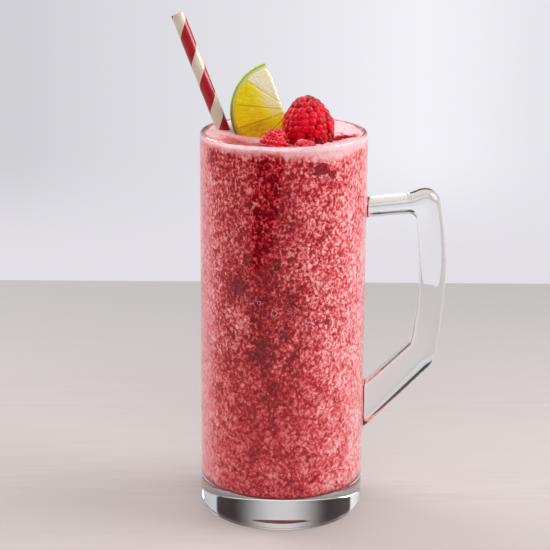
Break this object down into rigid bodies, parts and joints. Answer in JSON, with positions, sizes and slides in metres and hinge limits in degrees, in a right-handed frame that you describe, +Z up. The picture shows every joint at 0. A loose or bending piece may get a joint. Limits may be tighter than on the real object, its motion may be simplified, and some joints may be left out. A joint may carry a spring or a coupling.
{
  "type": "frozen fruit slush in a glass mug",
  "caption": "Straight glass mug with a bowed handle, filled with pink-red frozen fruit slush, with a striped paper straw, a lime wedge and red berries on top.",
  "frame": {"origin": "centre of the mug's base, on the table", "axes": "+Z up along the mug's axis, +X towards the handle, -Y towards the viewer, with the straw leaning to -X"},
  "size_m": [0.1251, 0.075, 0.2281],
  "materials": {
    "clear_glass": "clear polished pressed glass",
    "fruit_ice": "wet crushed ice with fruit pulp, mottled pink and red",
    "striped_paper": "waxed paper with a red spiral stripe",
    "citrus": "wet cut citrus flesh inside a green rind",
    "red_berry": "glossy crimson drupelets"
  },
  "bodies": {
    "root": {"mug": "clear_glass", "slush": "fruit_ice", "straw": "striped_paper", "lime_wedge": "citrus", "large_berry": "red_berry", "left_berry": "red_berry", "front_berry": "red_berry"}
  },
  "joints": []
}
